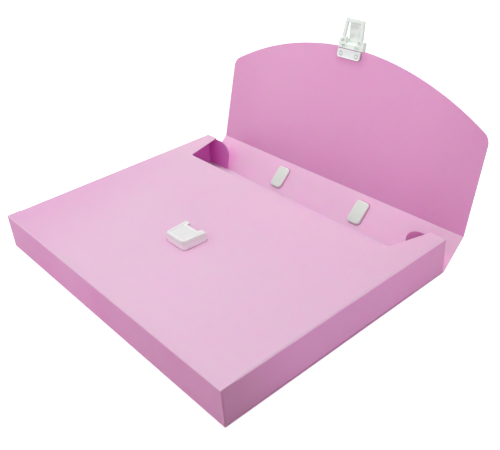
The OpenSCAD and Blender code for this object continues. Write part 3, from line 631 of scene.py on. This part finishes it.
# Its inner face is painted deep, for shade inside the case. Painted shade deepens its left front, its right
# end and its right rear corner, and painted light near the mouth takes out some red. Round the keeper it gets
# a painted pink glow and a painted contact shadow.
dress("front_panel", sheet_material(
    "front_panel_sheet", outer=front_tone, inner=(0.62, 0.19, 0.48), face=(0, 0, 1), inward=(0, 0, -1),
    painted_fades=[painted_fade((-0.165, -0.126, 0), (1, 0.35, 0), length=0.13, strength=0.7, tone=(0.745, 0.32, 0.565)),
            painted_fade((0, 0.085, 0), (0, -1, 0), length=0.060, strength=0.8, tone=(0.73, 0.475, 0.61)),
            painted_fade(right_end, (-1, 0, 0), length=0.13, strength=0.4, tone=(0.70, 0.40, 0.57)),
            painted_fade((0.165, 0.126, 0), (-0.7, -0.7, 0), length=0.11, strength=0.45, tone=(0.65, 0.40, 0.54))],
    fittings=[dict(**keeper_foot, corner=0.0036, reach=0.0080, strength=0.40, tone=(0.80, 0.36, 0.60)),
              dict(**keeper_foot, corner=0.0036, reach=0.0013, strength=0.60, tone=(0.46, 0.20, 0.34))]))


# ---------------------------------------------------------------------------
# Dust flaps. Small flaps of the same blank that fold in across the ends of the
# mouth, behind the closed lid, so that papers and dust stay where they are.
# They stand in the shadow of the front panel: their inner faces are painted a deep magenta, with painted
# shade that deepens towards the hinge and the colour of light that has come through the sheet.
dust_crease_width, dust_crease_strength = 0.0022, 0.25
for side, end, inner, hinge_shade in (("left", -1, (0.76, 0.27, 0.66), (0.54, 0.060, 0.49)),
                               ("right", 1, (0.72, 0.35, 0.585), (0.63, 0.20, 0.48))):
    hinge = (end * 0.1642, 0.1241, 0)
    dress("dust_flap_" + side, sheet_material(
        "dust_flap_" + side + "_sheet", outer=(0.80, 0.37, 0.62), inner=inner,
        face=(0, 1, 0), inward=(0, -1, 0), across=(0, 0, 1),
        creases=[dict(place=hinge, across=(1, 0, 0), width=dust_crease_width, strength=dust_crease_strength)],
        inner_painted_fades=[painted_fade(hinge, (-end, 0, 0), length=0.034, strength=0.75, tone=hinge_shade)]))


# ---------------------------------------------------------------------------
# Spine panel. The first panel of the lid, as wide as the case is thick. It
# folds on the back panel along its foot and carries the handle's brackets.
spine_slope = math.radians(43)
spine_rise = (0, math.cos(spine_slope), math.sin(spine_slope))
spine_face = (0, -spine_rise[2], spine_rise[1])
spine_pink = (0.765, 0.453, 0.62)
flap_fold_place = (0, 0.152221, 0.025225)
# A painted pink glow on the spine beside the left dust flap, for light that has come through the flap.
dust_flap_glow_patch = dict(middle=(-0.148, 0.1315, 0.0059), across=(1, 0, 0), up=spine_rise,
                        half_width=0.010, half_height=0.008)
# The painted contact shadows round the pads are moved this far towards their shadowed side.
pad_shadow_shift = 0.0007
# Painted shade darkens the spine's right end, and painted light brightens its foot.
dress("spine_panel", sheet_material(
    "spine_sheet", outer=spine_pink, inner=spine_pink, face=spine_face, inward=spine_face, across=spine_rise,
    creases=[dict(place=spine_fold_place, across=spine_rise, width=0.0016, strength=0.3),
             dict(place=flap_fold_place, across=spine_rise, width=0.0020, strength=0.45)],
    painted_fades=[painted_fade(right_end, (-1, 0, 0), length=0.07, strength=0.95, tone=(0.60, 0.40, 0.52)),
            painted_fade(spine_fold_place, spine_rise, length=0.025, strength=1.0, tone=(0.90, 0.50, 0.71))],
    fittings=[dict(**dust_flap_glow_patch, corner=0.006, reach=0.015, strength=0.45, tone=(0.84, 0.22, 0.62))] +
             [dict(**footprint("handle_pad_" + side, (1, 0, 0), spine_rise, pad_shadow_shift),
                   corner=0.004, reach=0.0016, strength=0.85, tone=(0.40, 0.16, 0.28))
              for side in ("left", "right")]))


# ---------------------------------------------------------------------------
# Cover flap. The outer panel of the lid, in the same sheet, with a long curved
# edge. The latch is clamped to the middle of that edge.
flap_slope = math.radians(75)
flap_rise = (0, math.cos(flap_slope), math.sin(flap_slope))
flap_face = (0, -flap_rise[2], flap_rise[1])
flap_pink = (0.68, 0.355, 0.55)
# The flap's pink is painted deeper than the front panel's: painted shade. Painted shade deepens it near its
# fold and towards both ends, and the latch's clamp plate throws a painted shadow, moved to the right of the
# plate, with a painted contact line.
dress("cover_flap", sheet_material(
    "cover_flap_sheet", outer=flap_pink, inner=flap_pink, face=flap_face, inward=flap_face, across=flap_rise,
    painted_fades=[painted_fade(flap_fold_place, flap_rise, length=0.085, strength=0.35, tone=(0.70, 0.31, 0.575)),
            painted_fade((-0.165, 0, 0), (1, 0, 0), length=0.08, strength=0.45, tone=(0.59, 0.265, 0.475)),
            painted_fade(right_end, (-1, 0, 0), length=0.08, strength=0.55, tone=(0.56, 0.28, 0.46))],
    fittings=[dict(**footprint("latch_clamp_plate", (1, 0, 0), flap_rise, shift=0.0015),
                   corner=0.003, reach=0.010, strength=0.34, tone=(0.60, 0.20, 0.44)),
              dict(**footprint("latch_clamp_plate", (1, 0, 0), flap_rise, shift=0.0003),
                   corner=0.003, reach=0.0013, strength=0.8, tone=(0.36, 0.15, 0.26))]))


# ---------------------------------------------------------------------------
# Living hinges. At each fold of the lid the sheet is pressed down to a thin
# web, 0.4 mm thick, that bends from one panel into the next.
web_pink = (0.80, 0.46, 0.68)
web_half_length = 0.1648
web_reach = 0.0010          # from the fold to each end of the bend
web_thickness = 0.0004
web_steps = 10
hinge_web_sheet = sheet_material("hinge_web_sheet", outer=web_pink, inner=web_pink, face=(1, 0, 0),
                                 inward=(0, 0, 1), cut_off_face=False)


def hinge_web(name, fold_place, first, second):
    """A web along a fold, in the first panel's plane before it and in the second panel's after it."""
    low = Vector((-web_half_length, *fold_place[1:]))
    high = Vector((web_half_length, *fold_place[1:]))
    first, second = Vector(first).normalized(), Vector(second).normalized()
    along = (high - low).normalized()
    profile = []
    for step in range(web_steps + 1):
        t = step / web_steps
        middle = first * (web_reach * (1 - t) * (1 - t) * -1) + second * (web_reach * t * t)
        tangent = (first * (1 - t) + second * t).normalized()
        profile.append((middle, along.cross(tangent).normalized() * (web_thickness / 2)))
    ring = [middle + off for middle, off in profile] + [middle - off for middle, off in reversed(profile)]
    count = len(ring)
    verts = [low + point for point in ring] + [high + point for point in ring]
    faces = [(i, (i + 1) % count, count + (i + 1) % count, count + i) for i in range(count)]
    faces += [(i, i + 1, count - 2 - i, count - 1 - i) for i in range(web_steps)]
    faces += [(count + i, count + i + 1, 2 * count - 2 - i, 2 * count - 1 - i) for i in range(web_steps)]
    mesh = bpy.data.meshes.new(name)
    mesh.from_pydata(verts, [], faces)
    cleaner = bmesh.new()
    cleaner.from_mesh(mesh)
    bmesh.ops.recalc_face_normals(cleaner, faces=cleaner.faces)
    cleaner.to_mesh(mesh)
    cleaner.free()
    mesh.materials.append(hinge_web_sheet)
    web = bpy.data.objects.new(name, mesh)
    bpy.context.scene.collection.objects.link(web)
    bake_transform(web)


hinge_web("spine_hinge_web", spine_fold_place, (0, 1, 0), spine_rise)
hinge_web("flap_hinge_web", flap_fold_place, spine_rise, flap_rise)


# ---------------------------------------------------------------------------
# Keeper. The socket of the lock, moulded in white polypropylene. Its four pins
# go through the front panel and are pressed into a washer plate underneath.

# The fine texture of a spark-eroded mould, with the soft marks of the plastic's flow.
moulded_texture, texture_in, texture_out = group_tree(
    "moulded_texture",
    [("Position", "NodeSocketVector", (0, 0, 0)), ("Texture scale", "NodeSocketFloat", 2600.0)],
    [("Height", "NodeSocketFloat"), ("Roughness change", "NodeSocketFloat"), ("Tone", "NodeSocketFloat")])
flow_height = 1.2           # against the spark marks' own height
flow_dullness = 0.16
mean_flow_dullness = 0.08   # taken off again, so that the change is zero on average
spark_marks = noise(moulded_texture, texture_in["Position"], texture_in["Texture scale"], detail=3)
flow_marks = noise(moulded_texture, texture_in["Position"], scale=120, detail=3, roughness=0.6)
feed(moulded_texture, texture_out["Height"],
     reckon(moulded_texture, "MULTIPLY_ADD", flow_marks, flow_height, spark_marks))
feed(moulded_texture, texture_out["Roughness change"],
     reckon(moulded_texture, "MULTIPLY_ADD", flow_marks, flow_dullness, -mean_flow_dullness))
feed(moulded_texture, texture_out["Tone"], ramp_between(moulded_texture, flow_marks, low=0.3, high=0.7))

moulding_roughness = 0.38
moulding_bump = 0.3
moulding_texture_depth = 0.000015
moulding_glow = 0.25        # share of the light that is scattered inside the plastic
moulding_glow_radius = (1.0, 0.9, 0.8)
moulding_glow_depth = 0.0012
flow_tone = 0.95
smudge_share, smudge_tone = 0.2, 0.86
part_line_share, part_line_tone, part_line_height = 0.25, 0.8, 3.0
moulding_scratch_depth = 0.6
rim_step_low, rim_step_high = 0.0002, 0.0001    # below the rim's level
pin_seam_share, pin_seam_tone, pin_seam_width = 0.9, 0.35, 0.0012


def white_moulding(name, colour, part_plane=None, painted_pink_bounce=None, edge_highlight=None, rim_highlight=None, pins=()):
    """White plastic. The part plane is where the mould's halves met. The tone low on a moulding is painted
    light: the pink that the sheet it stands on throws up on to it. The tone of the edges that turn away from
    a face is a painted highlight, and so is the tone of a rim that stands above its recess. Pins are the ends
    of pins pressed into holes."""
    material = bpy.data.materials.new(name)
    material.use_nodes = True
    tree = material.node_tree
    bsdf = tree.nodes["Principled BSDF"]
    seat = tree.nodes.new("ShaderNodeTexCoord")
    position, normal = seat.outputs["Object"], seat.outputs["Normal"]
    texture = place_group(material, moulded_texture, Position=position)
    marks = place_group(material, handling_marks, Position=position)
    base = blend_colours(tree, texture["Tone"], colour, scaled(colour, flow_tone))
    base = blend_colours(tree, reckon(tree, "MULTIPLY", marks["Smudges"], smudge_share),
                         base, scaled(colour, smudge_tone))
    # Painted light: pink thrown up from the sheet on to the moulding's lower part.
    if painted_pink_bounce:
        up = reckon_vector(tree, "DOT_PRODUCT", position, (0, 0, 1))
        base = blend_colours(tree, ramp_between(tree, up, painted_pink_bounce["low"], painted_pink_bounce["high"], 1.0, 0.0),
                             base, painted_pink_bounce["tone"])
    # Painted highlight on the edges that turn away from a face.
    if edge_highlight:
        squareness = reckon_vector(tree, "DOT_PRODUCT", normal, edge_highlight["face"])
        turned_away = ramp_between(tree, squareness, low=0.80, high=0.98, to_low=0.85, to_high=0.0)
        base = blend_colours(tree, turned_away, base, edge_highlight["tone"])
    # Painted highlight on a rim that stands above its recess, which leaves the recess darker.
    if rim_highlight:
        level = reckon_vector(tree, "DOT_PRODUCT", position, rim_highlight["up"])
        above = ramp_between(tree, level, rim_highlight["level"] - rim_step_low, rim_highlight["level"] - rim_step_high)
        base = blend_colours(tree, above, base, rim_highlight["tone"])
    for pin in pins:
        seam = place_group(material, round_fitting, Position=position, Middle=pin["place"],
                           Across=pin["across"], Up=pin["up"], Half_width=pin["radius"],
                           Half_height=pin["radius"], Corner=pin["radius"], Reach=pin_seam_width)["Mask"]
        base = blend_colours(tree, reckon(tree, "MULTIPLY", seam, pin_seam_share),
                             base, scaled(colour, pin_seam_tone))
    height = reckon(tree, "MULTIPLY_ADD", marks["Scratches"], -moulding_scratch_depth, texture["Height"])
    if part_plane:
        line = place_group(material, near_fold, Position=position, Fold_place=part_plane["place"],
                           Fold_across=part_plane["across"], Width=part_plane["width"])["Mask"]
        height = reckon(tree, "MULTIPLY_ADD", line, part_line_height, height)
        base = blend_colours(tree, reckon(tree, "MULTIPLY", line, part_line_share),
                             base, scaled(colour, part_line_tone))
    feed(tree, bsdf.inputs["Base Color"], base)
    feed(tree, bsdf.inputs["Roughness"], reckon(tree, "ADD", moulding_roughness, texture["Roughness change"]))
    bump = tree.nodes.new("ShaderNodeBump")
    bump.inputs["Strength"].default_value = moulding_bump
    bump.inputs["Distance"].default_value = moulding_texture_depth
    feed(tree, bump.inputs["Height"], height)
    feed(tree, bsdf.inputs["Normal"], bump.outputs["Normal"])
    bsdf.inputs["IOR"].default_value = polypropylene_ior
    bsdf.inputs["Subsurface Weight"].default_value = moulding_glow
    bsdf.inputs["Subsurface Radius"].default_value = moulding_glow_radius
    bsdf.inputs["Subsurface Scale"].default_value = moulding_glow_depth
    return material


same_point = 0.000002       # corners of the solid's triangles that are closer than this are one
flat_angle = math.radians(1)
sharp_angle = math.radians(35)
edge_segments = 2


def softened(node, body, material, edge):
    """A moulding made from a CAD node's own shape, with its sharp edges rounded over."""
    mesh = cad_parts[node].data.copy()
    mesh.name = node + "_moulding"
    welder = bmesh.new()
    welder.from_mesh(mesh)
    bmesh.ops.remove_doubles(welder, verts=welder.verts, dist=same_point)
    bmesh.ops.dissolve_limit(welder, angle_limit=flat_angle, verts=welder.verts, edges=welder.edges)
    welder.to_mesh(mesh)
    welder.free()
    mesh.materials.clear()
    mesh.materials.append(material)
    piece = bpy.data.objects.new(node + "_moulding", mesh)
    bpy.context.scene.collection.objects.link(piece)
    rounding = piece.modifiers.new("edge_radius", "BEVEL")
    rounding.limit_method = "ANGLE"
    rounding.angle_limit = sharp_angle
    rounding.width = edge
    rounding.segments = edge_segments
    rounding.use_clamp_overlap = True
    rounding.harden_normals = True
    mesh.shade_smooth()
    mesh.set_sharp_from_angle(angle=sharp_angle)
    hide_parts(node)
    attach(piece, body)


front_panel_top = 0.0355
keeper_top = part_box("keeper_housing")[1].z
# The keeper's lower part is painted pink, as painted light thrown up from the sheet. Its rim is painted
# lighter than its recess, as a painted highlight.
keeper_plastic = white_moulding(
    "keeper_plastic", (0.725, 0.735, 0.725),
    part_plane=dict(place=(0, 0, 0.0365), across=(0, 0, 1), width=0.00012),
    painted_pink_bounce=dict(low=front_panel_top, high=keeper_top, tone=(0.93, 0.82, 0.89)),
    rim_highlight=dict(up=(0, 0, 1), level=keeper_top, tone=(0.79, 0.77, 0.78)))
softened("keeper_housing", "case", keeper_plastic, edge=0.00035)
softened("keeper_washer", "case", keeper_plastic, edge=0.0002)


# ---------------------------------------------------------------------------
# Handle. Two brackets on the outside of the spine hold its pivot pins, and two
# pads on the inside are pressed on to the brackets' pins through the sheet. All
# are white polypropylene mouldings.
handle_plastic = white_moulding("handle_plastic", (0.78, 0.79, 0.77))
for side in ("left", "right"):
    # The pads' edges get a painted highlight.
    pad_plastic = white_moulding("handle_pad_plastic_" + side, (0.69, 0.745, 0.685),
                                 edge_highlight=dict(face=spine_face, tone=(0.97, 0.90, 0.94)))
    softened("handle_bracket_" + side, "spine", handle_plastic, edge=0.0003)
    softened("handle_pad_" + side, "spine", pad_plastic, edge=0.0003)
softened("handle", "carry_handle", handle_plastic, edge=0.0002)


# ---------------------------------------------------------------------------
# Latch. The clip at the lid's curved edge, in white polypropylene: a thumb block
# with a tapered frame, a clamp plate that its pins are pressed into, and the
# springy tongue whose ridge catches in the keeper.
pin_half_pitch = 0.0098
pin_up_flap = 0.12718       # from the fold to the middle of the latch's two pins
pin_radius = 0.0016
pin_line_y = flap_fold_place[1] + pin_up_flap * flap_rise[1]
pin_line_z = flap_fold_place[2] + pin_up_flap * flap_rise[2]
plate_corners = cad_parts["latch_clamp_plate"].data.vertices
plate_top = max(Vector(flap_face).dot(corner.co) for corner in plate_corners)
latch_plastic = white_moulding("latch_plastic", (0.81, 0.89, 0.835))
# The clamp plate's top face is painted whiter than its recess: a painted highlight.
clamp_plate_plastic = white_moulding(
    "clamp_plate_plastic", (0.83, 0.905, 0.88),
    rim_highlight=dict(up=flap_face, level=plate_top, tone=(0.91, 0.91, 0.91)),
    pins=[dict(place=(x, pin_line_y, pin_line_z), across=(1, 0, 0), up=flap_rise, radius=pin_radius)
          for x in (-pin_half_pitch, pin_half_pitch)])
softened("latch_body", "flap", latch_plastic, edge=0.00025)
softened("latch_clamp_plate", "flap", clamp_plate_plastic, edge=0.0003)
softened("release_tongue", "tongue", latch_plastic, edge=0.0002)
